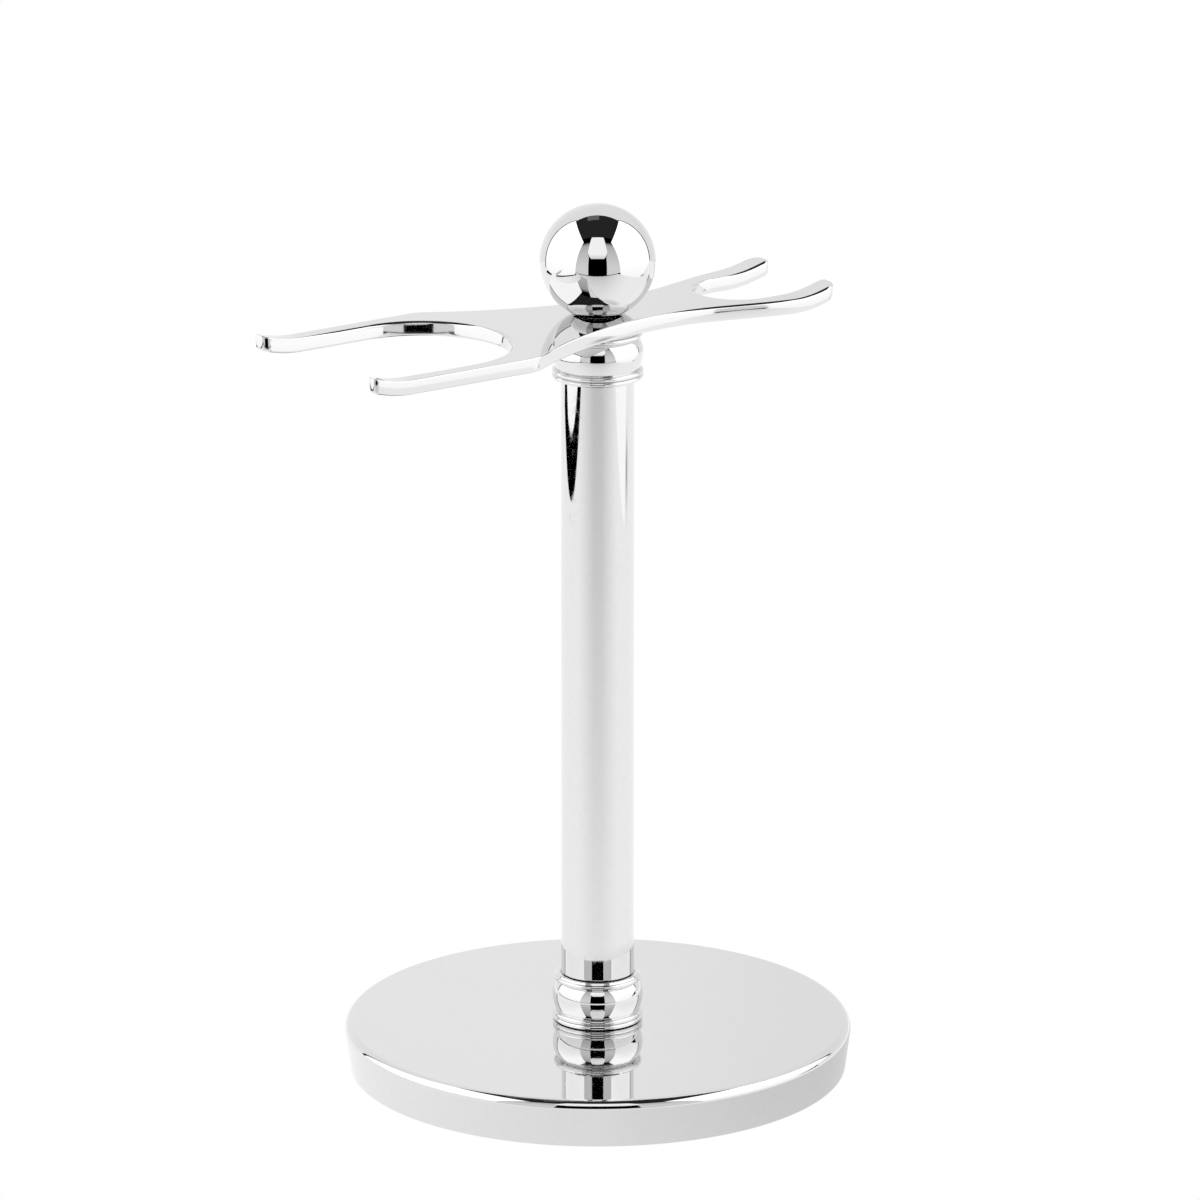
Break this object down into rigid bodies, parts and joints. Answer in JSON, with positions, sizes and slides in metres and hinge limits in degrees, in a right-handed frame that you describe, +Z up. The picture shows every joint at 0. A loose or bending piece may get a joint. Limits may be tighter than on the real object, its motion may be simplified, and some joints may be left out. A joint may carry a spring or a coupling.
{
  "type": "razor stand",
  "caption": "Chrome shaving stand: weighted round base, post with turned collars, swivelling cradle plate with a wide brush fork and a narrow razor fork, and a ball finial.",
  "frame": {"origin": "centre of the base pad's underside, on the surface that the stand rests on", "axes": "+Z up along the post, X along the cradle's long axis with the narrow razor fork towards +X and the wide brush fork towards -X"},
  "size_m": [0.1028, 0.0888, 0.1558],
  "materials": {
    "chrome_base": "mirror polished chrome plate on a pressed steel cover",
    "chrome_turned": "mirror polished chrome plate on a turned collar",
    "chrome_tube": "mirror polished chrome plate on drawn tube",
    "chrome_plate": "mirror polished chrome plate on cut steel plate, eased edges",
    "chrome_ball": "mirror polished chrome plate on a turned ball",
    "raw_steel": "raw turned steel",
    "zinc_plate": "satin zinc plate",
    "brass": "bare turned brass",
    "black_foam": "matt fine-celled foam rubber",
    "nylon": "natural translucent nylon"
  },
  "bodies": {
    "stand": {"base_cover": "chrome_base", "base_weight": "raw_steel", "base_pad": "black_foam", "base_screw": "zinc_plate", "flat_washer": "zinc_plate", "spring_washer": "zinc_plate", "lower_collar": "chrome_turned", "lower_plug": "brass", "post_tube": "chrome_tube", "upper_plug": "brass", "upper_collar": "chrome_turned"},
    "cradle": {"cradle_plate": "chrome_plate"},
    "finial_seat": {"finial_washer": "nylon"},
    "finial": {"finial_stud": "zinc_plate", "finial_ball": "chrome_ball"}
  },
  "joints": [
    {"name": "cradle_swivel", "type": "hinge", "parent": "stand", "child": "cradle", "pos_m": [0, 0, 0.134], "axis": [0, 0, 1], "continuous": true},
    {"name": "finial_lift", "type": "slide", "parent": "stand", "child": "finial_seat", "axis": [0, 0, 1], "range_m": [0, 0.007]},
    {"name": "finial_turn", "type": "hinge", "parent": "finial_seat", "child": "finial", "pos_m": [0, 0, 0.1369], "axis": [0, 0, 1], "range_deg": [0, 3600]}
  ],
  "couplings": [
    {"joint": "finial_turn", "follows": "finial_lift", "rad_per_m": 8975.9}
  ]
}
